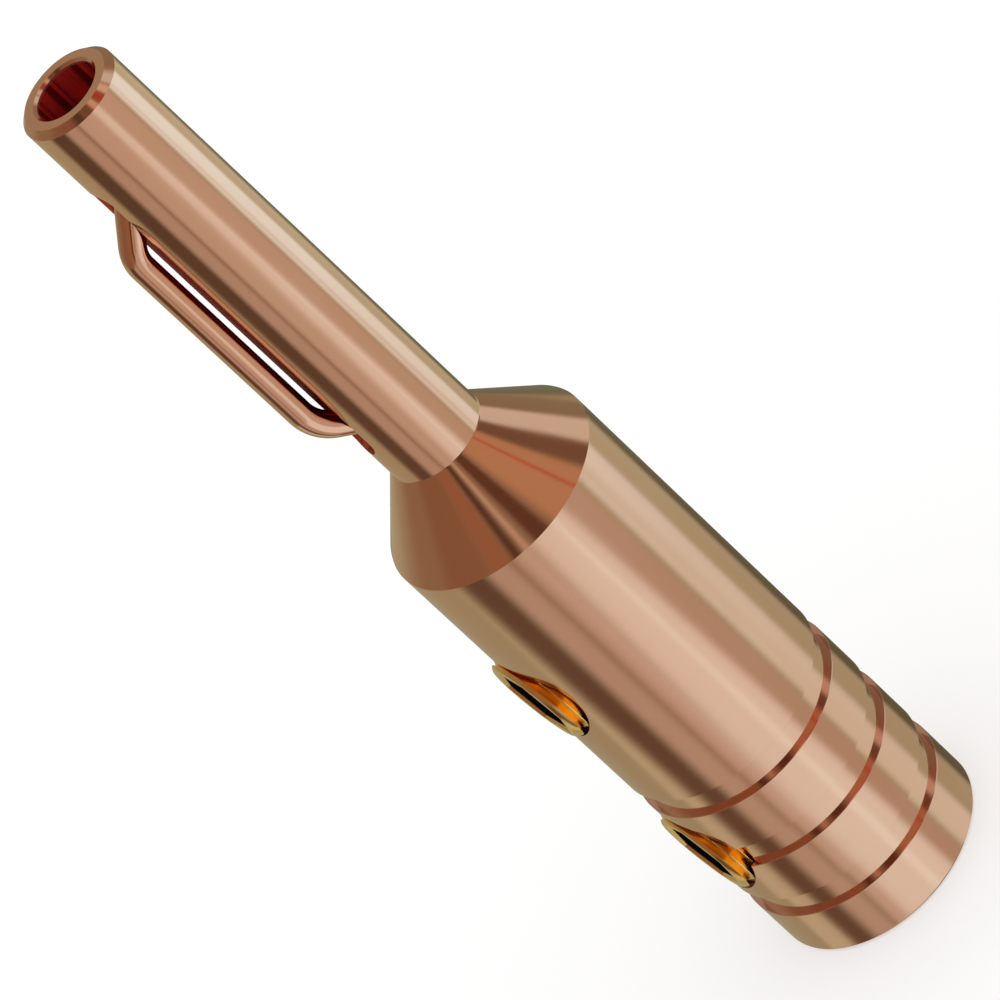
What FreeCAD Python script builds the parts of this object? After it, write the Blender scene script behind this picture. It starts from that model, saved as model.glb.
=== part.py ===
import FreeCAD, Part
import math
import os

# Set-screw banana plug, sizes in millimetres.
# The part stands on its flat cable end: Z=0 is the cable end's face, +Z runs to the tip.
# +X points out through the contact spring and both set screws.

# Turned body
overall_length = 47.2
pin_diameter = 4.0
pin_length = 20.6
cone_length = 3.14
body_diameter = 8.85
rear_chamfer = 0.15
tip_chamfer = 0.25

# Hollow pin
tip_bore_diameter = 2.54
tip_bore_lead = 0.1
tip_bore_end_wall = 0.3

# Slot that the spring comes out of
slot_side_gap = 0.15
slot_from_tip = 3.47
slot_from_cone = 1.63

# Turned grooves round the cable end
groove_count = 3
groove_width = 1.09
groove_depth = 0.225
groove_pitch = 3.25
first_groove_z = 2.93

# Cable hole, drilled just past the front set screw
cable_hole_diameter = 4.4
cable_hole_lead = 0.3
cable_hole_past_screw = 0.82

# Contact spring, bent from round wire
wire_diameter = 1.0
crown_gap = 0.163
crown_start_past_slot = 3.43
crown_end_before_slot = 3.396
front_bend_radius = 1.384
front_leg_angle = 38.8
rear_bend_radius = 2.086
rear_leg_angle = 46.0
foot_wall_gap = 0.25
foot_bend_radius = 0.95
front_foot_past_slot = 1.5
rear_foot_end_gap = 0.53
wire_end_chamfer = 0.12

# Set screws
screw_diameter = 4.3
screw_clearance = 0.05
screw_tip_set_back = 0.025
screw_spacing = 10.0
front_screw_stand_out = 0.165
rear_screw_stand_out = 0.075
face_chamfer = 0.25
tip_cone = 0.45
socket_across_flats = 2.85
socket_depth = 1.4
socket_lead = 0.1
front_socket_turn = 33.0
rear_socket_turn = 16.5

axis_z = FreeCAD.Vector(0, 0, 1)
axis_x = FreeCAD.Vector(1, 0, 0)
body_radius = body_diameter / 2
pin_radius = pin_diameter / 2
wire_radius = wire_diameter / 2
tip_bore_radius = tip_bore_diameter / 2
tip_bore_depth = pin_length - tip_bore_end_wall
slot_width = wire_diameter + 2 * slot_side_gap
slot_end_from_tip = pin_length - slot_from_cone
crown_height = pin_radius + crown_gap + wire_radius
crown_start_from_tip = slot_from_tip + crown_start_past_slot
crown_end_from_tip = slot_end_from_tip - crown_end_before_slot
foot_height = tip_bore_radius - foot_wall_gap - wire_radius

# the rear set screw stands in the middle groove
rear_screw_z = first_groove_z + groove_pitch
front_screw_z = rear_screw_z + screw_spacing
screw_hole_radius = screw_diameter / 2 + screw_clearance
screw_length = body_radius - cable_hole_diameter / 2 - screw_tip_set_back
cable_hole_depth = front_screw_z + screw_hole_radius + cable_hole_past_screw


def turned(profile):
    # profile: (radius, z) corners of a closed outline, turned round the Z axis
    corners = [FreeCAD.Vector(r, 0, z) for r, z in profile]
    face = Part.Face(Part.makePolygon(corners + [corners[0]]))
    return face.revolve(FreeCAD.Vector(0, 0, 0), axis_z, 360)


def outer_solid():
    cone_z = overall_length - pin_length
    shoulder_z = cone_z - cone_length
    return turned([
        (0, 0),
        (body_radius - rear_chamfer, 0),
        (body_radius, rear_chamfer),
        (body_radius, shoulder_z),
        (pin_radius, cone_z),
        (pin_radius, overall_length - tip_chamfer),
        (pin_radius - tip_chamfer, overall_length),
        (0, overall_length),
    ])


def groove(index):
    middle = first_groove_z + index * groove_pitch
    low = middle - groove_width / 2
    high = middle + groove_width / 2
    floor = body_radius - groove_depth
    outside = body_radius + 1
    return turned([(floor, low), (outside, low), (outside, high), (floor, high)])


def tip_bore():
    end = overall_length - tip_bore_depth
    mouth_radius = tip_bore_radius + tip_bore_lead
    return turned([
        (0, end),
        (tip_bore_radius, end),
        (tip_bore_radius, overall_length - tip_bore_lead),
        (mouth_radius, overall_length),
        (mouth_radius, overall_length + 1),
        (0, overall_length + 1),
    ])


def cable_hole():
    radius = cable_hole_diameter / 2
    drill_point = radius / math.tan(math.radians(59))
    return turned([
        (0, -1),
        (radius + cable_hole_lead, -1),
        (radius + cable_hole_lead, 0),
        (radius, cable_hole_lead),
        (radius, cable_hole_depth),
        (0, cable_hole_depth + drill_point),
    ])


def spring_slot():
    # a round-ended slot through the +X wall of the pin only
    half = slot_width / 2
    top = overall_length - slot_from_tip - half
    bottom = overall_length - slot_end_from_tip + half
    reach = pin_radius + 1
    box = Part.makeBox(reach, slot_width, top - bottom, FreeCAD.Vector(0, -half, bottom))
    upper_end = Part.makeCylinder(half, reach, FreeCAD.Vector(0, 0, top), axis_x)
    lower_end = Part.makeCylinder(half, reach, FreeCAD.Vector(0, 0, bottom), axis_x)
    return box.fuse([upper_end, lower_end])


def screw_hole(z):
    return Part.makeCylinder(screw_hole_radius, body_radius + 1, FreeCAD.Vector(0, 0, z), axis_x)


def plug_body():
    cutters = [groove(i) for i in range(groove_count)]
    cutters += [tip_bore(), spring_slot(), cable_hole()]
    cutters += [screw_hole(rear_screw_z), screw_hole(front_screw_z)]
    solid = outer_solid()
    for cutter in cutters:
        solid = solid.cut(cutter)
    return solid


def bend(centre, radius, start, end):
    # an arc in the XZ plane, angles in degrees from +X towards +Z
    def at(angle):
        turn = math.radians(angle)
        return centre + FreeCAD.Vector(radius * math.cos(turn), 0, radius * math.sin(turn))

    return Part.Arc(at(start), at((start + end) / 2), at(end)).toShape()


def wire_path():
    # from the front foot, up the front leg, along the crown, down the rear leg, to the rear foot
    def point(height, from_tip):
        return FreeCAD.Vector(height, 0, overall_length - from_tip)

    front = math.radians(front_leg_angle)
    rear = math.radians(rear_leg_angle)

    crown_front = point(crown_height - front_bend_radius, crown_start_from_tip)
    crown_rear = point(crown_height - rear_bend_radius, crown_end_from_tip)
    front_leg_top_height = crown_height - front_bend_radius * (1 - math.cos(front))
    front_leg_top_s = crown_start_from_tip - front_bend_radius * math.sin(front)
    rear_leg_top_height = crown_height - rear_bend_radius * (1 - math.cos(rear))
    rear_leg_top_s = crown_end_from_tip + rear_bend_radius * math.sin(rear)

    # each leg's straight line meets the foot's line here
    front_corner_s = front_leg_top_s - (front_leg_top_height - foot_height) / math.tan(front)
    rear_corner_s = rear_leg_top_s + (rear_leg_top_height - foot_height) / math.tan(rear)
    front_set_back = foot_bend_radius * math.tan(front / 2)
    rear_set_back = foot_bend_radius * math.tan(rear / 2)
    foot_centre_height = foot_height + foot_bend_radius

    front_foot_end = point(foot_height, slot_from_tip - front_foot_past_slot)
    rear_foot_end = point(foot_height, tip_bore_depth - rear_foot_end_gap)
    front_foot_bend = point(foot_centre_height, front_corner_s - front_set_back)
    rear_foot_bend = point(foot_centre_height, rear_corner_s + rear_set_back)

    edges = []
    arcs = [
        bend(front_foot_bend, foot_bend_radius, 180, 180 + front_leg_angle),
        bend(crown_front, front_bend_radius, front_leg_angle, 0),
        bend(crown_rear, rear_bend_radius, 0, -rear_leg_angle),
        bend(rear_foot_bend, foot_bend_radius, 180 - rear_leg_angle, 180),
    ]
    last = front_foot_end
    for arc in arcs:
        first_point = arc.Vertexes[0].Point
        end_point = arc.Vertexes[-1].Point
        edges.append(Part.makeLine(last, first_point))
        edges.append(arc)
        last = end_point
    edges.append(Part.makeLine(last, rear_foot_end))
    return Part.Wire(edges), front_foot_end


def contact_spring():
    path, start = wire_path()
    ring = Part.Wire(Part.makeCircle(wire_radius, start, axis_z))
    solid = path.makePipeShell([ring], True, True)
    end_circles = [e for e in solid.Edges if e.Closed and len(e.Vertexes) == 1]
    lowest = min(e.BoundBox.ZMin for e in end_circles)
    highest = max(e.BoundBox.ZMax for e in end_circles)
    rims = []
    for edge in end_circles:
        box = edge.BoundBox
        if box.ZMax < lowest + 0.01 or box.ZMin > highest - 0.01:
            rims.append(edge)
    return solid.makeChamfer(wire_end_chamfer, rims)


def hexagon(across_flats, x, turn):
    corner = across_flats / math.sqrt(3)
    points = []
    for i in range(6):
        angle = math.radians(turn + 60 * i)
        points.append(FreeCAD.Vector(x, corner * math.sin(angle), -corner * math.cos(angle)))
    return Part.makePolygon(points + [points[0]])


def set_screw(z, stand_out, socket_turn):
    radius = screw_diameter / 2
    face_x = body_radius + stand_out
    tip_x = face_x - screw_length
    corners = [
        (0, tip_x),
        (radius - tip_cone, tip_x),
        (radius, tip_x + tip_cone),
        (radius, face_x - face_chamfer),
        (radius - face_chamfer, face_x),
        (0, face_x),
    ]
    outline = [FreeCAD.Vector(x, 0, r) for r, x in corners]
    half_section = Part.Face(Part.makePolygon(outline + [outline[0]]))
    blank = half_section.revolve(FreeCAD.Vector(0, 0, 0), axis_x, 360)
    socket_hex = Part.Face(hexagon(socket_across_flats, face_x + 0.5, socket_turn))
    socket = socket_hex.extrude(FreeCAD.Vector(-socket_depth - 0.5, 0, 0))
    wide = hexagon(socket_across_flats + 2 * socket_lead, face_x, socket_turn)
    narrow = hexagon(socket_across_flats, face_x - socket_lead, socket_turn)
    lead = Part.makeLoft([wide, narrow], True)
    solid = blank.cut(socket).cut(lead)
    solid.translate(FreeCAD.Vector(0, 0, z))
    return solid


def save(shape, node):
    # STEP wants a plain solid, not a compound around one
    solid = shape.Solids[0]
    if not solid.isValid() or len(shape.Solids) != 1:
        raise RuntimeError("not one valid solid: " + node)
    solid.exportStep("parts/" + node + ".step")
    print(node, "volume mm3", round(solid.Volume, 2), "faces", len(solid.Faces))


os.makedirs("parts", exist_ok=True)
save(plug_body(), "plug_body")
save(contact_spring(), "contact_spring")
save(set_screw(front_screw_z, front_screw_stand_out, front_socket_turn), "set_screw_front")
save(set_screw(rear_screw_z, rear_screw_stand_out, rear_socket_turn), "set_screw_rear")
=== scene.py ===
import math

import bmesh
import bpy
from mathutils import Matrix, Vector


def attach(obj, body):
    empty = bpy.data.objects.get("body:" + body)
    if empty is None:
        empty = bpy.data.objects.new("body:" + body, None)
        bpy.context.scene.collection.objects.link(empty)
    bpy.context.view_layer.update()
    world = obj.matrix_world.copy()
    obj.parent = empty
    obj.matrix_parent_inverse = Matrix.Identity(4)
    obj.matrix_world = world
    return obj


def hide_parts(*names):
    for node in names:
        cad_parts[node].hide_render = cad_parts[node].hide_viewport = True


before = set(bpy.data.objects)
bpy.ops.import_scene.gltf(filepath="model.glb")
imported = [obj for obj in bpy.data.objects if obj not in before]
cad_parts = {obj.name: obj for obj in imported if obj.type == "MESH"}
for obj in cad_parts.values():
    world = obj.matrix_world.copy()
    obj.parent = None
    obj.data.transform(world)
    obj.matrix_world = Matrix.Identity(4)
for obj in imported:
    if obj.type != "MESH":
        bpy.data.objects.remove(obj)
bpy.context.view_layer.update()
mm = 0.001
fullTurn = 2 * math.pi
noiseRoughness = 0.6
print("frame loaded")

# the camera stands at the photograph's angle. Its place is in metres
cameraSetup = {
    "place": (0.03894234, 0.27362317, 0.20729645),
    "right": (-0.61955896, 0.49751915, -0.60714199),
    "up": (-0.77618646, -0.27304868, 0.56831242),
    "back": (0.11696699, 0.82335844, 0.55533738),
    "lens": 337.8266,
    "sensor": 36.0,
    "nearest": 0.02,
    "furthest": 20.0,
}


def makeCamera(setup):
    data = bpy.data.cameras.new("photoCamera")
    data.lens = setup["lens"]
    data.sensor_width = setup["sensor"]
    data.clip_start = setup["nearest"]
    data.clip_end = setup["furthest"]
    camera = bpy.data.objects.new("photoCamera", data)
    bpy.context.scene.collection.objects.link(camera)
    axes = Matrix((setup["right"], setup["up"], setup["back"])).transposed()
    camera.matrix_world = Matrix.Translation(setup["place"]) @ axes.to_4x4()
    bpy.context.scene.camera = camera


makeCamera(cameraSetup)
print("camera placed")


class Signal:
    # one output socket, so that shader sums read as plain sums
    def __init__(self, shade, socket):
        self.shade = shade
        self.socket = socket

    def __add__(self, other):
        return self.shade.maths("ADD", self, other)

    def __radd__(self, other):
        return self.shade.maths("ADD", other, self)

    def __sub__(self, other):
        return self.shade.maths("SUBTRACT", self, other)

    def __rsub__(self, other):
        return self.shade.maths("SUBTRACT", other, self)

    def __mul__(self, other):
        return self.shade.maths("MULTIPLY", self, other)

    def __rmul__(self, other):
        return self.shade.maths("MULTIPLY", other, self)


class Shading:
    # fills one node tree
    def __init__(self, owner):
        owner.use_nodes = True
        self.tree = owner.node_tree
        self.tree.nodes.clear()

    def add(self, kind, settings=None, sockets=None, out=0):
        # settings go first, because some of them change which sockets there are
        made = self.tree.nodes.new("ShaderNode" + kind)
        for name, value in (settings or {}).items():
            setattr(made, name, value)
        for name, value in (sockets or {}).items():
            if isinstance(value, Signal):
                self.tree.links.new(value.socket, made.inputs[name])
            else:
                made.inputs[name].default_value = value
        return Signal(self, made.outputs[out]) if len(made.outputs) else made

    def maths(self, operation, *values):
        return self.add("Math", {"operation": operation}, dict(enumerate(values)))

    def soft(self, value, low, high, toLow=0.0, toHigh=1.0):
        # eases from toLow to toHigh while value goes from low to high
        return self.add("MapRange", {"interpolation_type": "SMOOTHSTEP"}, {
            "Value": value, "From Min": low, "From Max": high,
            "To Min": toLow, "To Max": toHigh})

    def above(self, value, limit, blur):
        # 1 over the limit, easing to 0 within blur beneath it
        return self.soft(value, limit - blur, limit)

    def below(self, value, limit, blur):
        return self.soft(value, limit + blur, limit)

    def ramp(self, value, low, high):
        return self.add("MapRange", None, {"Value": value, "From Min": low, "From Max": high})

    def mix(self, factor, first, second):
        # colours are three numbers or a signal
        def full(colour):
            return colour if isinstance(colour, Signal) else (*colour, 1)

        return self.add(
            "Mix", {"data_type": "RGBA"}, {0: factor, 6: full(first), 7: full(second)}, out=2)

    def split(self, vector):
        node = self.add("SeparateXYZ", None, {0: vector}).socket.node
        return [Signal(self, socket) for socket in node.outputs]

    def place(self):
        # a point of the piece, in millimetres
        point = self.add("TexCoord", out="Object")
        return self.add("VectorMath", {"operation": "SCALE"}, {0: point, "Scale": 1 / mm})

    def noise(self, place, grain, detail):
        # grain is how fast it changes per millimetre along X, Y and Z
        stretched = self.add("VectorMath", {"operation": "MULTIPLY"}, {0: place, 1: grain})
        return self.add("TexNoise", {"noise_dimensions": "3D"}, {
            "Vector": stretched, "Scale": 1.0, "Detail": detail, "Roughness": noiseRoughness})


# the room that the polished metal sees, as soft panels. Degrees, turned round the Z axis.
# a pair is the value at the bottom and at the top of its part of the room
room = {
    "level": 1.08,
    "lowSpan": (-37.0, -31.0),
    "lowToneFrom": -36.0,
    "lowTone": ((0.35, 0.32, 0.22), (0.385, 0.33, 0.215)),
    "horizon": (-16.0, -7.0),
    "highSpan": (15.0, 42.0),
    "highTone": (0.27, 0.17, 0.11),
    "topFrom": (43.0, 47.0),
    "topTone": (0.24, 0.10, 0.065),
}

lowPanels = [
    # turn, half width, soft edge, colour
    (80, 62, 6, ((0.45, 0.34, 0.285), (0.54, 0.42, 0.36))),
    (30, 13, 6, ((0.46, 0.36, 0.305), (0.45, 0.335, 0.29))),
    ((43, 46.5), 2.5, 7, ((0.31, 0.22, 0.165), (0.22, 0.12, 0.075))),
    ((56, 62), (11, -6), 5, ((0.56, 0.46, 0.415), (0.55, 0.45, 0.40))),
    ((90, 96), (32.5, 8), 6, ((0.765, 0.755, 0.755), (0.735, 0.69, 0.67))),
    ((98.5, 101), (5, -1), 3.5, (0.84, 0.88, 0.92)),
    ((162.5, 176), (16, 27.5), 6, ((0.67, 0.65, 0.60), (0.85, 1.01, 1.13))),
    ((159, 156.5), (13, 0), 7, ((0.67, 0.645, 0.595), (0.64, 0.60, 0.55))),
    ((-160, -153), (15, 17), 6, ((0.40, 0.365, 0.265), (0.53, 0.53, 0.41))),
    ((-120, -114), (22.5, 15), 6, ((0.115, 0.10, 0.058), (0.16, 0.165, 0.105))),
    (-20, (15, -21), 5, (0.51, 0.475, 0.36)),
    ((6.5, -1.5), (11, 19), 8, ((0.13, 0.075, 0.05), (0.103, 0.06, 0.038))),
]

highPanels = [
    (127, 27, 6, (0.465, 0.255, 0.15)),
    ((190, 167), 12, 4, (0.62, 0.57, 0.53)),
    ((166, 155), 9, 4, (0.17, 0.088, 0.055)),
    (-143, 13, 6, (0.25, 0.195, 0.13)),
    (-98, 12, 10, (0.35, 0.265, 0.185)),
    (-66, 16, 14, (0.34, 0.275, 0.19)),
    (6, 22, 8, (0.245, 0.122, 0.07)),
    (37, 10, 5, (0.30, 0.13, 0.065)),
    (54, 4.5, 4, (0.085, 0.035, 0.018)),
    (65, 3, 3, (0.52, 0.36, 0.28)),
    (84, 9, 4, (0.11, 0.043, 0.022)),
    (135.5, 1.3, 2.5, (0.48, 0.05, 0.03)),
]

topPanels = [
    (50, 14, 14, (0.08, 0.035, 0.018)),
    (82, 10, 6, (0.16, 0.07, 0.04)),
    (106, 9, 4, (0.60, 0.38, 0.25)),
    (130, 9, 3, (0.38, 0.05, 0.03)),
    (159, 16, 4, (0.65, 0.48, 0.39)),
]


def between(ends, climb):
    if isinstance(ends, tuple):
        return ends[0] + (ends[1] - ends[0]) * climb
    return ends


def hangPanels(shade, wall, panels, turn, climb, tone):
    # lays each soft panel over the wall's colour
    for place, half, soft, colour in panels:
        away = shade.maths("WRAP", turn - between(place, climb), 180.0, -180.0)
        edge = between(half, climb)
        cover = shade.soft(shade.maths("ABSOLUTE", away), edge + soft, edge - soft)
        paint = shade.mix(tone, *colour) if isinstance(colour[0], tuple) else colour
        wall = shade.mix(cover, wall, paint)
    return wall


def makeRoom():
    world = bpy.data.worlds.new("studio")
    bpy.context.scene.world = world
    shade = Shading(world)
    x, y, z = shade.split(shade.add("TexCoord", out="Generated"))
    turn = shade.maths("ARCTAN2", y, x) * math.degrees(1)
    height = shade.maths("ARCSINE", z) * math.degrees(1)
    climb = shade.ramp(height, *room["lowSpan"])
    steep = shade.ramp(height, *room["highSpan"])
    tone = shade.soft(height, room["lowToneFrom"], room["lowSpan"][1])
    low = hangPanels(shade, shade.mix(tone, *room["lowTone"]), lowPanels, turn, climb, tone)
    high = hangPanels(shade, room["highTone"], highPanels, turn, steep, tone)
    top = hangPanels(shade, room["topTone"], topPanels, turn, steep, tone)
    wall = shade.mix(shade.soft(height, *room["horizon"]), low, high)
    wall = shade.mix(shade.soft(height, *room["topFrom"]), wall, top)
    plain = shade.add("Background", None, {"Color": (1, 1, 1, 1)})
    panels = shade.add("Background", None, {"Color": wall, "Strength": room["level"]})
    glossy = shade.add("LightPath", out="Is Glossy Ray")
    light = shade.add("MixShader", None, {0: glossy, 1: plain, 2: panels})
    shade.add("OutputWorld", None, {"Surface": light})


makeRoom()
print("light set")

# half the floor's side in metres, its grey, and the light that lifts it to white
floorSetup = {"half": 3.0, "colour": 0.62, "lift": 0.41}


def makeFloor(setup):
    mesh = bpy.data.meshes.new("floor")
    bm = bmesh.new()
    bmesh.ops.create_grid(bm, x_segments=1, y_segments=1, size=setup["half"])
    bm.to_mesh(mesh)
    bm.free()
    floor = bpy.data.objects.new("floor", mesh)
    bpy.context.scene.collection.objects.link(floor)
    floor.visible_glossy = False
    floor.visible_shadow = False
    material = bpy.data.materials.new("paleFloor")
    shade = Shading(material)
    level = setup["colour"]
    paint = shade.add("BsdfDiffuse", None, {"Color": (level, level, level, 1)})
    lift = shade.add("Emission", None, {"Strength": setup["lift"]})
    white = shade.add("AddShader", None, {0: paint, 1: lift})
    camera = shade.add("LightPath", out="Is Camera Ray")
    surface = shade.add("MixShader", None, {0: camera, 1: paint, 2: white})
    shade.add("OutputMaterial", None, {"Surface": surface})
    mesh.materials.append(material)


makeFloor(floorSetup)
print("floor made")


def finishMaterial(name, build):
    material = bpy.data.materials.new(name)
    shade = Shading(material)
    shade.add("OutputMaterial", None, {"Surface": build(shade)})
    return material


# how near counts as the same place, in millimetres
sameWithin = {
    "turned": 0.00002,
    "carved": 0.00005,
    "thread": 0.0005,
    "trim": 0.00001,
    "rim": 0.0002,
    "level": 0.001,
}


def fromMesh(bm, name):
    mesh = bpy.data.meshes.new(name)
    bmesh.ops.recalc_face_normals(bm, faces=bm.faces)
    bm.to_mesh(mesh)
    bm.free()
    piece = bpy.data.objects.new(name, mesh)
    bpy.context.scene.collection.objects.link(piece)
    return piece


def drawnLine(bm, points):
    spots = [bm.verts.new([value * mm for value in point]) for point in points]
    return spots + [bm.edges.new(pair) for pair in zip(spots, spots[1:])]


def turnedMesh(points, axis, steps):
    # a line from axis to axis, spun into a closed solid
    bm = bmesh.new()
    bmesh.ops.spin(
        bm, geom=drawnLine(bm, points), cent=(0, 0, 0), axis=axis, angle=fullTurn, steps=steps,
        use_merge=True)
    bmesh.ops.remove_doubles(bm, verts=bm.verts, dist=sameWithin["turned"] * mm)
    return bm


def cut(piece, cutters, operation="DIFFERENCE"):
    for cutter in cutters:
        carve = piece.modifiers.new("carve", "BOOLEAN")
        carve.operation = operation
        carve.solver = "EXACT"
        carve.object = cutter
    bpy.context.view_layer.update()
    seen = piece.evaluated_get(bpy.context.evaluated_depsgraph_get())
    mesh = bpy.data.meshes.new_from_object(seen)
    piece.modifiers.clear()
    old = piece.data
    piece.data = mesh
    mesh.name = piece.name
    bpy.data.meshes.remove(old)
    for cutter in cutters:
        bpy.data.objects.remove(cutter)


def tidyEdges(piece, sharpFrom):
    bm = bmesh.new()
    bm.from_mesh(piece.data)
    bmesh.ops.remove_doubles(bm, verts=bm.verts, dist=sameWithin["carved"] * mm)
    bmesh.ops.dissolve_degenerate(bm, edges=bm.edges, dist=sameWithin["carved"] * mm)
    bmesh.ops.recalc_face_normals(bm, faces=bm.faces)
    for face in bm.faces:
        face.smooth = True
    bm.to_mesh(piece.data)
    bm.free()
    piece.data.set_sharp_from_angle(angle=math.radians(sharpFrom))


# the plug body, turned from one bar. Lengths are in millimetres, here and below
plug = {
    "steps": 288,
    "sharpFrom": 15,
    "length": 47.2,
    "pinRadius": 2.0,
    "pinLength": 20.6,
    "coneLength": 3.14,
    "bodyRadius": 4.425,
    "edgeBreak": 0.025,
    "rearChamfer": 0.15,
    "tipChamfer": 0.25,
    "boreRadius": 1.27,
    "boreLead": 0.1,
    "boreDepth": 20.3,
    "grooves": 3,
    "grooveWidth": 1.09,
    "grooveDepth": 0.225,
    "groovePitch": 3.25,
    "firstGroove": 2.93,
    "cableRadius": 2.2,
    "cableLead": 0.3,
    "cableDepth": 19.2,
    "drillHalfAngle": 59,
    "slotWidth": 1.3,
    "slotFromTip": 3.47,
    "slotFromCone": 1.63,
    "slotSteps": 64,
    "slotReach": 3.0,
    "screwHoleRadius": 2.2,
    "screwHoles": (6.18, 16.18),
    "screwHoleSteps": 128,
    "overcut": 1.0,
}

copperLook = {
    "colour": (0.83, 0.555, 0.39),
    "paleColour": (0.84, 0.60, 0.43),
    "palePatches": (0.42, 0.72),
    "paleMost": 0.5,
    "boreBounceLight": ((0.72, 0.035, 0.03), (0.20, 0.006, 0.006)),
    "boreStreaks": (0.42, 0.58),
    "slotBounceLight": (0.88, 0.36, 0.26),
    "grooveBounceTint": (0.84, 0.56, 0.51),
    "holeShadeAndLight": ((0.10, 0.01, 0.006), (0.95, 0.10, 0.04)),
    "holeShadeToLight": (-1.7, -1.1),
    "shine": 0.075,
    "dull": 0.13,
    "boreDull": 0.12,
    "slotDull": 0.15,
    "holeDull": 0.2,
    "boreFlat": 0.35,
    "bandShare": 0.6,
    # grain along X, Y and Z, and detail
    "marks": ((0.06, 0.06, 26.0), 3.0),
    "bands": ((0.12, 0.12, 3.0), 2.0),
    "patches": ((0.26, 0.26, 0.16), 4.0),
    "streaks": ((2.6, 2.6, 0.03), 2.0),
    "markStrength": 0.25,
    "markDepth": 0.0006,
    # soft edges of the walls painted with reflected light and shade, and where that painting
    # begins, from the axis
    "fineEdge": 0.01,
    "wideEdge": 0.1,
    "mouthEdge": 0.12,
    "slotFrom": 1.3,
    "holeFrom": 0.6,
}


def inBore(shade, z, fromAxis):
    fine, wide = copperLook["fineEdge"], copperLook["wideEdge"]
    zone = shade.below(fromAxis, plug["boreRadius"] + fine, 2 * fine)
    zone = zone * shade.above(z, plug["length"] - plug["boreDepth"], wide)
    mouth = plug["length"] - 2 * plug["boreLead"]
    return zone * shade.below(z, mouth, copperLook["mouthEdge"])


def inSlot(shade, x, y, z, fromAxis):
    fine, wide = copperLook["fineEdge"], copperLook["wideEdge"]
    lowest = plug["length"] - plug["pinLength"] + plug["slotFromCone"]
    highest = plug["length"] - plug["slotFromTip"]
    zone = shade.below(shade.maths("ABSOLUTE", y), plug["slotWidth"] / 2 + fine, fine)
    zone = zone * shade.above(x, copperLook["slotFrom"], wide)
    zone = zone * shade.below(fromAxis, plug["pinRadius"] - 2 * fine, fine)
    return zone * shade.above(z, lowest - wide, wide) * shade.below(z, highest + wide, wide)


def inScrewHole(shade, x, y, z):
    # both holes at once, folded onto one. Their walls are painted with red reflected light, which
    # fades into painted shade towards the hole's cable end
    look = copperLook
    fine, wide = look["fineEdge"], look["wideEdge"]
    rear, front = plug["screwHoles"]
    half = (front - rear) / 2
    across = shade.maths("WRAP", z - (rear + half), 2 * half, 0.0) - half
    fromHole = shade.maths("SQRT", y * y + across * across)
    zone = shade.below(fromHole, plug["screwHoleRadius"] + fine / 2, fine)
    zone = zone * shade.above(x, look["holeFrom"], wide)
    zone = zone * shade.below(z, plug["cableDepth"], wide)
    return zone, shade.mix(shade.soft(across, *look["holeShadeToLight"]), *look["holeShadeAndLight"])


def onGrooveWall(shade, z, fromAxis):
    fine, wide = copperLook["fineEdge"], copperLook["wideEdge"]
    floor = plug["bodyRadius"] - plug["grooveDepth"]
    first = plug["firstGroove"]
    last = first + (plug["grooves"] - 1) * plug["groovePitch"]
    zone = shade.above(fromAxis, floor + 2 * fine, 1.5 * fine)
    zone = zone * shade.below(fromAxis, plug["bodyRadius"] - 2 * fine, fine)
    zone = zone * shade.above(z, first - plug["grooveWidth"], wide)
    return zone * shade.below(z, last + plug["grooveWidth"], wide)


def copperSurface(shade):
    look = copperLook
    place = shade.place()
    x, y, z = shade.split(place)
    fromAxis = shade.maths("SQRT", x * x + y * y)
    # turning marks run round the axis, so they change quickly along it
    marks = shade.noise(place, *look["marks"])
    bands = shade.noise(place, *look["bands"])
    patches = shade.noise(place, *look["patches"])
    pale = shade.soft(patches, *look["palePatches"], 0.0, look["paleMost"])
    colour = shade.mix(pale, look["colour"], look["paleColour"])
    # inside the hollow pin the light is red from many bounces; that light is painted into the
    # colour, in streaks
    bore = inBore(shade, z, fromAxis)
    streaks = shade.soft(shade.noise(place, *look["streaks"]), *look["boreStreaks"])
    colour = shade.mix(bore, colour, shade.mix(streaks, *look["boreBounceLight"]))
    # the walls of the slot and of the tapped holes are painted red, as painted light that they
    # reflect into one another
    slot = inSlot(shade, x, y, z, fromAxis)
    colour = shade.mix(slot, colour, look["slotBounceLight"])
    hole, paintedHoleLight = inScrewHole(shade, x, y, z)
    colour = shade.mix(hole, colour, paintedHoleLight)
    # the grooves' cut walls are painted a touch pinker than the polished bands, as painted light
    # that wall and floor reflect into each other
    colour = shade.mix(onGrooveWall(shade, z, fromAxis), colour, look["grooveBounceTint"])
    uneven = look["bandShare"] * bands + (1 - look["bandShare"]) * patches
    rough = look["shine"] + (look["dull"] - look["shine"]) * uneven
    rough = rough + look["boreDull"] * bore + look["slotDull"] * slot + look["holeDull"] * hole
    bump = shade.add("Bump", None, {
        "Strength": look["markStrength"], "Distance": look["markDepth"] * mm, "Height": marks})
    return shade.add("BsdfPrincipled", None, {
        "Base Color": colour, "Metallic": 1.0 - look["boreFlat"] * bore, "Roughness": rough,
        "Normal": bump})


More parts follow.
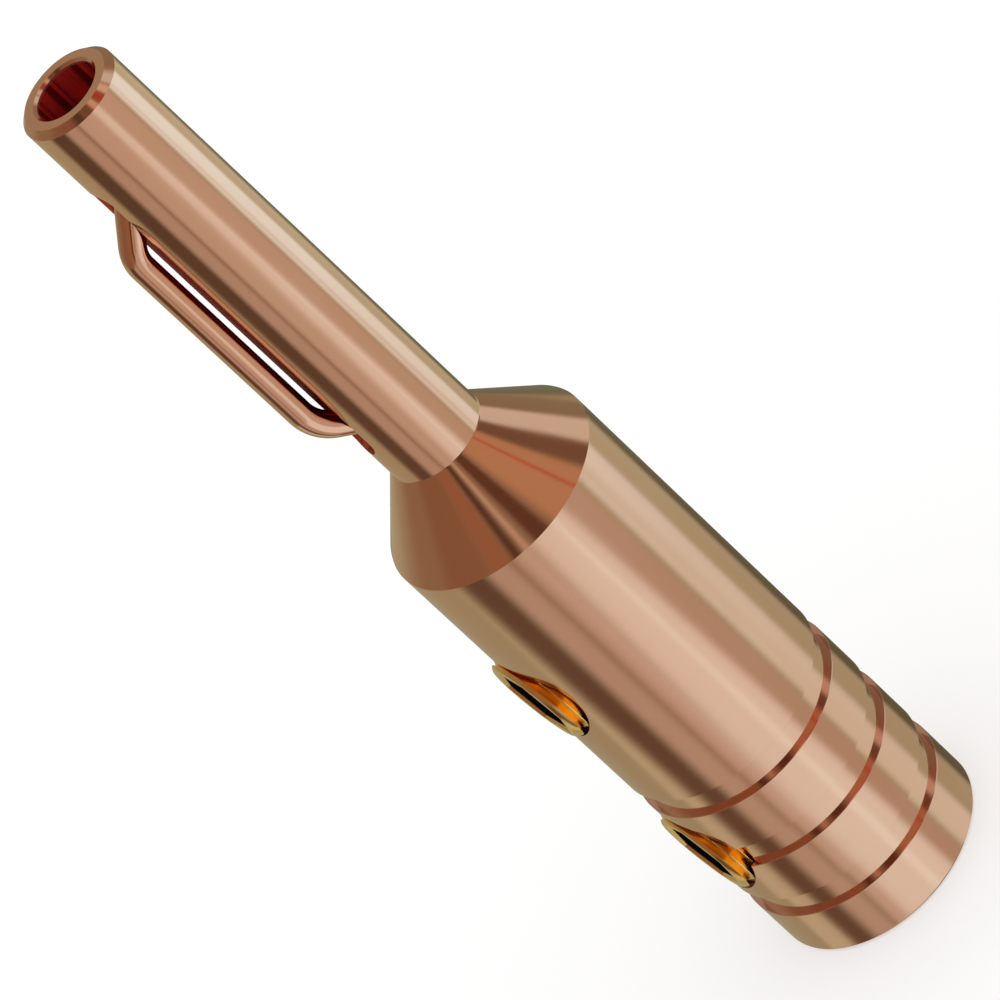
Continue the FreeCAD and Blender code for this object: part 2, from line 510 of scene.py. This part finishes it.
def plugOutline():
    # radius and height of each corner, from the axis round to the axis
    edge = plug["edgeBreak"]
    body = plug["bodyRadius"]
    cone = plug["length"] - plug["pinLength"]
    shoulder = cone - plug["coneLength"]
    point = plug["cableRadius"] / math.tan(math.radians(plug["drillHalfAngle"]))
    outline = [
        (0, plug["cableDepth"] + point),
        (plug["cableRadius"], plug["cableDepth"]),
        (plug["cableRadius"], plug["cableLead"]),
        (plug["cableRadius"] + plug["cableLead"], 0),
        (body - plug["rearChamfer"], 0),
        (body, plug["rearChamfer"]),
    ]
    for index in range(plug["grooves"]):
        middle = plug["firstGroove"] + index * plug["groovePitch"]
        low = middle - plug["grooveWidth"] / 2
        high = middle + plug["grooveWidth"] / 2
        floor = body - plug["grooveDepth"]
        outline += [
            (body, low - edge), (body - edge, low), (floor, low),
            (floor, high), (body - edge, high), (body, high + edge),
        ]
    bore = plug["boreRadius"]
    outline += [
        (body, shoulder - edge),
        (body - edge, shoulder + edge),
        (plug["pinRadius"] + edge / 2, cone - edge / 2),
        (plug["pinRadius"], cone + edge),
        (plug["pinRadius"], plug["length"] - plug["tipChamfer"]),
        (plug["pinRadius"] - plug["tipChamfer"], plug["length"]),
        (bore + plug["boreLead"], plug["length"]),
        (bore, plug["length"] - plug["boreLead"]),
        (bore, plug["length"] - plug["boreDepth"]),
        (0, plug["length"] - plug["boreDepth"]),
    ]
    return outline


def slotCutter():
    # a round-ended bar, longer than the pin's wall is thick
    half = plug["slotWidth"] / 2
    top = plug["length"] - plug["slotFromTip"] - half
    bottom = plug["length"] - plug["pinLength"] + plug["slotFromCone"] + half
    bm = bmesh.new()
    bmesh.ops.create_circle(bm, cap_ends=True, segments=plug["slotSteps"], radius=half * mm)
    bmesh.ops.rotate(bm, verts=bm.verts, matrix=Matrix.Rotation(math.pi / 2, 3, "Y"))
    upper = [corner for corner in bm.verts if corner.co.z > sameWithin["level"] * mm]
    bmesh.ops.translate(bm, verts=bm.verts, vec=(0, 0, bottom * mm))
    bmesh.ops.translate(bm, verts=upper, vec=(0, 0, (top - bottom) * mm))
    out = bmesh.ops.extrude_face_region(bm, geom=bm.faces)["geom"]
    moved = [item for item in out if isinstance(item, bmesh.types.BMVert)]
    bmesh.ops.translate(bm, verts=moved, vec=(plug["slotReach"] * mm, 0, 0))
    return fromMesh(bm, "slotCutter")


def screwHoleCutter(height):
    # a bar along X from the axis outwards
    radius = plug["screwHoleRadius"] * mm
    depth = (plug["bodyRadius"] + plug["overcut"]) * mm
    lying = Matrix.Rotation(math.pi / 2, 4, "Y")
    bm = bmesh.new()
    bmesh.ops.create_cone(
        bm, cap_ends=True, segments=plug["screwHoleSteps"], radius1=radius, radius2=radius,
        depth=depth, matrix=Matrix.Translation((depth / 2, 0, height * mm)) @ lying)
    return fromMesh(bm, "screwHoleCutter")


upright = [(radius, 0, height) for radius, height in plugOutline()]
shell = fromMesh(turnedMesh(upright, (0, 0, 1), plug["steps"]), "plugShell")
cut(shell, [slotCutter()] + [screwHoleCutter(height) for height in plug["screwHoles"]])
tidyEdges(shell, plug["sharpFrom"])
shell.data.materials.clear()
shell.data.materials.append(finishMaterial("turnedCopper", copperSurface))
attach(shell, "plug")
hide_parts("plug_body")
print("plug body turned", len(shell.data.polygons))


# the contact bow, bent from round wire. Places along it are measured from the pin's tip
bow = {
    "wireRadius": 0.5,
    "steps": 40,
    "sharpFrom": 30,
    "bendStep": 2.5,
    "crownHeight": 2.663,
    "crownFrom": 6.9,
    "crownTo": 15.574,
    "frontBend": 1.384,
    "frontAngle": 38.8,
    "rearBend": 2.086,
    "rearAngle": 46.0,
    "footBend": 0.95,
    "footHeight": 0.52,
    "frontEnd": 1.97,
    "rearEnd": 19.77,
    "endChamfer": 0.12,
}

springLook = {
    "colour": (0.83, 0.52, 0.36),
    "paleColour": (0.85, 0.58, 0.42),
    "palePatches": (0.4, 0.7),
    "shine": 0.05,
    "dull": 0.11,
    "lineShare": 0.5,
    # grain along X, Y and Z, and detail
    "lines": ((0.04, 13.0, 0.09), 2.0),
    "patches": ((0.5, 0.5, 0.25), 3.0),
    "lineStrength": 0.25,
    "lineDepth": 0.0025,
}


def springSurface(shade):
    look = springLook
    place = shade.place()
    # drawing lines run along the wire
    lines = shade.noise(place, *look["lines"])
    patches = shade.noise(place, *look["patches"])
    pale = shade.soft(patches, *look["palePatches"])
    colour = shade.mix(pale, look["colour"], look["paleColour"])
    uneven = look["lineShare"] * lines + (1 - look["lineShare"]) * patches
    rough = look["shine"] + (look["dull"] - look["shine"]) * uneven
    bump = shade.add("Bump", None, {
        "Strength": look["lineStrength"], "Distance": look["lineDepth"] * mm, "Height": lines})
    return shade.add("BsdfPrincipled", None, {
        "Base Color": colour, "Metallic": 1.0, "Roughness": rough, "Normal": bump})


class WirePen:
    # draws a round wire out in the XZ plane, run by run and bend by bend
    def __init__(self, start, radius, steps, bendStep):
        self.bm = bmesh.new()
        self.bendStep = bendStep
        ring = bmesh.ops.create_circle(
            self.bm, cap_ends=False, segments=steps, radius=radius * mm)
        bmesh.ops.translate(self.bm, verts=ring["verts"], vec=Vector(start) * mm)
        self.heading = Vector((0, 0, -1))
        self.rim = self.bm.edges[:]
        self.firstRim = self.rim

    def middle(self):
        # each corner once, in a fixed order, so that every run rounds alike
        corners = dict.fromkeys(corner for edge in self.rim for corner in edge.verts)
        return sum((corner.co for corner in corners), Vector()) / len(corners)

    def run(self, distance, grow=1.0):
        made = bmesh.ops.extrude_edge_only(self.bm, edges=self.rim)["geom"]
        corners = [item for item in made if isinstance(item, bmesh.types.BMVert)]
        self.rim = [item for item in made if isinstance(item, bmesh.types.BMEdge)]
        bmesh.ops.translate(self.bm, verts=corners, vec=self.heading * distance * mm)
        bmesh.ops.scale(
            self.bm, verts=corners, vec=(grow, grow, grow),
            space=Matrix.Translation(-self.middle()))

    def turn(self, radius, degrees):
        # a negative angle turns towards +X while the wire runs down
        angle = math.radians(degrees)
        side = Matrix.Rotation(math.copysign(math.pi / 2, angle), 3, "Y") @ self.heading
        made = bmesh.ops.spin(
            self.bm, geom=self.rim, cent=self.middle() + side * radius * mm, axis=(0, 1, 0),
            angle=angle, steps=int(abs(degrees) / self.bendStep), use_merge=False)
        self.rim = [item for item in made["geom_last"] if isinstance(item, bmesh.types.BMEdge)]
        self.heading = Matrix.Rotation(angle, 3, "Y") @ self.heading

    def close(self):
        bmesh.ops.contextual_create(self.bm, geom=self.firstRim)
        bmesh.ops.contextual_create(self.bm, geom=self.rim)
        return self.bm


def legLength(rise, bends, angle):
    # the straight part between two bends, and how far bends and leg reach along the pin
    leg = (rise - bends * (1 - math.cos(angle))) / math.sin(angle)
    return leg, bends * math.sin(angle) + leg * math.cos(angle)


def bowMesh(length):
    rise = bow["crownHeight"] - bow["footHeight"]
    frontLeg, frontSpan = legLength(
        rise, bow["frontBend"] + bow["footBend"], math.radians(bow["frontAngle"]))
    rearLeg, rearSpan = legLength(
        rise, bow["rearBend"] + bow["footBend"], math.radians(bow["rearAngle"]))
    tip = bow["endChamfer"]
    full = bow["wireRadius"]
    start = (bow["footHeight"], 0, length - bow["frontEnd"])
    pen = WirePen(start, full - tip, bow["steps"], bow["bendStep"])
    pen.run(tip, full / (full - tip))
    pen.run(bow["crownFrom"] - frontSpan - bow["frontEnd"] - tip)
    pen.turn(bow["footBend"], -bow["frontAngle"])
    pen.run(frontLeg)
    pen.turn(bow["frontBend"], bow["frontAngle"])
    pen.run(bow["crownTo"] - bow["crownFrom"])
    pen.turn(bow["rearBend"], bow["rearAngle"])
    pen.run(rearLeg)
    pen.turn(bow["footBend"], -bow["rearAngle"])
    pen.run(bow["rearEnd"] - bow["crownTo"] - rearSpan - tip)
    pen.run(tip, (full - tip) / full)
    return pen.close()


bowPiece = fromMesh(bowMesh(plug["length"]), "contactBow")
tidyEdges(bowPiece, bow["sharpFrom"])
bowPiece.data.materials.append(finishMaterial("drawnCopperWire", springSurface))
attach(bowPiece, "bow")
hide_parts("contact_spring")
print("bow bent", len(bowPiece.data.polygons))


# the set screws, gold plated, with a real thread
screw = {
    "radius": 2.15,
    "root": 1.86,
    "crestFlat": 0.02,
    "pitch": 0.36,
    "crestAtFlat": 4.086,
    "steps": 72,
    "sharpFrom": 24,
    "length": 2.2,
    "faceRound": 0.6,
    "faceTilt": 58.0,
    "faceSteps": 5,
    "drop": 0.04,
    "tipCone": 0.45,
    "acrossFlats": 2.85,
    "socketDepth": 1.4,
    "socketLead": 0.1,
    "socketReach": 0.5,
    "spare": 0.05,
    "spareTurns": 3,
    "overcut": 0.01,
    "shadeMargin": 0.02,
    "shadeFrom": 0.1,
    # how far it stands out of the body, and how far its socket is turned
    "front": {"standOut": 0.165, "turnBy": 33.0},
    "rear": {"standOut": 0.075, "turnBy": 16.5},
}

goldLook = {
    "colour": (0.97, 0.65, 0.20),
    "wornColour": (0.93, 0.78, 0.46),
    "wornPatches": (0.35, 0.7),
    "wornMost": 0.35,
    "crestWorn": 0.3,
    "crest": (2.07, 2.14),
    "valleyBounceColour": (1.0, 0.62, 0.12),
    "valley": (2.12, 1.98),
    "belowFace": (0.14, 0.3),
    "shine": 0.10,
    "dull": 0.20,
    "patches": ((0.9, 0.9, 0.9), 4.0),
}

# the hex socket is painted near black: painted shade for the deep recess that light hardly
# reaches
socketLook = {
    "colour": (0.003, 0.003, 0.003),
    "paleColour": (0.006, 0.005, 0.004),
    "dull": 0.6,
    "paleDull": 0.1,
    "mirror": 0.02,
    "shades": ((0.001, 0.001, 0.001), 2.0),
}


def goldSurface(shade, middle, face):
    look = goldLook
    place = shade.place()
    x, y, z = shade.split(place)
    across = z - middle
    fromAxis = shade.maths("SQRT", y * y + across * across)
    patches = shade.noise(place, *look["patches"])
    # the plating is worn pale in patches and on the crests. In the thread's valleys under the
    # face it is painted a deeper yellow, as painted light bounced between the flanks and the
    # hole's wall
    worn = shade.soft(patches, *look["wornPatches"]) * look["wornMost"]
    worn = worn + shade.soft(fromAxis, *look["crest"]) * look["crestWorn"]
    colour = shade.mix(worn, look["colour"], look["wornColour"])
    start, full = look["belowFace"]
    valley = shade.soft(fromAxis, *look["valley"])
    valley = valley * shade.soft(x, face - start, face - full)
    colour = shade.mix(valley, colour, look["valleyBounceColour"])
    rough = look["shine"] + (look["dull"] - look["shine"]) * patches
    return shade.add("BsdfPrincipled", None, {
        "Base Color": colour, "Metallic": 1.0, "Roughness": rough})


def socketSurface(shade):
    look = socketLook
    shades = shade.noise(shade.place(), *look["shades"])
    colour = shade.mix(shades, look["colour"], look["paleColour"])
    return shade.add("BsdfPrincipled", None, {
        "Base Color": colour, "Metallic": 0.0, "Specular IOR Level": look["mirror"],
        "Roughness": look["dull"] + look["paleDull"] * shades})


socketBlack = finishMaterial("socketShade", socketSurface)


def threadMesh(bottom, top):
    # one turn's profile drawn out along a helix round X, then cut flat at both ends
    bm = bmesh.new()
    pitch = screw["pitch"]
    turns = int((top - bottom) / pitch) + screw["spareTurns"]
    startX = screw["crestAtFlat"] - pitch * math.ceil((screw["crestAtFlat"] - bottom) / pitch + 1)
    crest = screw["crestFlat"] / 2
    profile = [
        (-pitch / 2, screw["root"]), (-crest, screw["radius"]), (crest, screw["radius"]),
        (pitch / 2, screw["root"])]
    bmesh.ops.spin(
        bm, geom=drawnLine(bm, [(startX + x, radius, 0) for x, radius in profile]),
        cent=(0, 0, 0), axis=(1, 0, 0), angle=fullTurn * turns,
        dvec=(pitch / screw["steps"] * mm, 0, 0), steps=screw["steps"] * turns, use_merge=False)
    bmesh.ops.remove_doubles(bm, verts=bm.verts, dist=sameWithin["thread"] * mm)
    for place, way in ((bottom, -1), (top, 1)):
        bmesh.ops.bisect_plane(
            bm, geom=bm.verts[:] + bm.edges[:] + bm.faces[:], dist=sameWithin["trim"] * mm,
            plane_co=(place * mm, 0, 0), plane_no=(way, 0, 0), clear_outer=True)
    for place in (bottom, top):
        rim = [edge for edge in bm.edges if edge.is_boundary and all(
            abs(corner.co.x / mm - place) < sameWithin["rim"] for corner in edge.verts)]
        bmesh.ops.contextual_create(bm, geom=rim)
    return bm


def blankMesh(bottom, top):
    # what the thread is trimmed to: a bar with a rounded face edge and a coned tip
    reach = screw["radius"] + screw["overcut"]
    outline = [
        (bottom, 0), (bottom, screw["radius"] - screw["tipCone"]),
        (bottom + screw["tipCone"] + screw["overcut"], reach)]
    bend = screw["faceRound"]
    steepest = math.radians(screw["faceTilt"])
    for step in range(screw["faceSteps"] + 1):
        tilt = steepest * step / screw["faceSteps"]
        outline.append((
            top - bend * (math.sin(steepest) - math.sin(tilt)),
            reach - bend * (1 - math.cos(tilt))))
    outline.append((top, 0))
    lying = [(x, radius, 0) for x, radius in outline]
    return turnedMesh(lying, (1, 0, 0), screw["steps"] * 2)


def socketMesh(top, turnBy):
    # hexagon bar with a wider mouth
    bm = bmesh.new()
    corner = screw["acrossFlats"] / math.sqrt(3)
    mouth = (screw["acrossFlats"] + 2 * screw["socketLead"]) / math.sqrt(3)
    levels = [
        (-screw["socketDepth"], corner), (-screw["socketLead"], corner), (0, mouth),
        (screw["socketReach"], mouth)]
    rings = []
    for rise, radius in levels:
        made = bmesh.ops.create_circle(
            bm, cap_ends=False, segments=6, radius=radius * mm)["verts"]
        bmesh.ops.translate(bm, verts=made, vec=(0, 0, rise * mm))
        rings.append([edge for edge in bm.edges if all(end in made for end in edge.verts)])
    for lower, upper in zip(rings, rings[1:]):
        bmesh.ops.bridge_loops(bm, edges=lower + upper)
    bmesh.ops.contextual_create(bm, geom=rings[0])
    bmesh.ops.contextual_create(bm, geom=rings[-1])
    # laid along X, then turned until its first corner is turnBy from pointing down the plug
    bmesh.ops.rotate(bm, verts=bm.verts, matrix=Matrix.Rotation(math.pi / 2, 3, "Y"))
    corners = [end.co for end in bm.verts if abs(end.co.x) < sameWithin["level"] * mm]
    now = math.atan2(corners[0].y, -corners[0].z)
    turned = Matrix.Rotation(now - math.radians(turnBy), 3, "X")
    bmesh.ops.rotate(bm, verts=bm.verts, matrix=turned)
    bmesh.ops.translate(bm, verts=bm.verts, vec=(top * mm, 0, 0))
    return bm


def darkenSocket(piece, height, bottom, top):
    # the socket's walls and floor, but not its lead, take the second material, the painted shade
    corner = (screw["acrossFlats"] / math.sqrt(3) + screw["shadeMargin"]) * mm
    deepest = bottom + screw["shadeFrom"]
    for face in piece.data.polygons:
        middle = face.center
        inSocket = math.hypot(middle.y, middle.z - height * mm) < corner
        inSocket = inSocket and deepest < middle.x / mm < top - screw["socketLead"]
        face.material_index = 1 if inSocket else 0


def makeScrew(name, height, seat, body, node):
    top = plug["bodyRadius"] + seat["standOut"]
    bottom = top - screw["length"]
    spare = screw["spare"]
    piece = fromMesh(threadMesh(bottom - spare, top + spare), name)
    cut(piece, [fromMesh(blankMesh(bottom, top), "blank")], "INTERSECT")
    cut(piece, [fromMesh(socketMesh(top, seat["turnBy"]), "socketCutter")])
    piece.data.transform(Matrix.Translation((0, 0, (height - screw["drop"]) * mm)))
    tidyEdges(piece, screw["sharpFrom"])
    gold = finishMaterial(name + "Gold", lambda shade: goldSurface(shade, height, top))
    piece.data.materials.clear()
    piece.data.materials.append(gold)
    piece.data.materials.append(socketBlack)
    darkenSocket(piece, height, bottom, top)
    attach(piece, body)
    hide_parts(node)
    print(name, "cut", len(piece.data.polygons))


rearHole, frontHole = plug["screwHoles"]
makeScrew("frontSetScrew", frontHole, screw["front"], "front_screw", "set_screw_front")
makeScrew("rearSetScrew", rearHole, screw["rear"], "rear_screw", "set_screw_rear")

bpy.context.scene.view_settings.view_transform = "Standard"
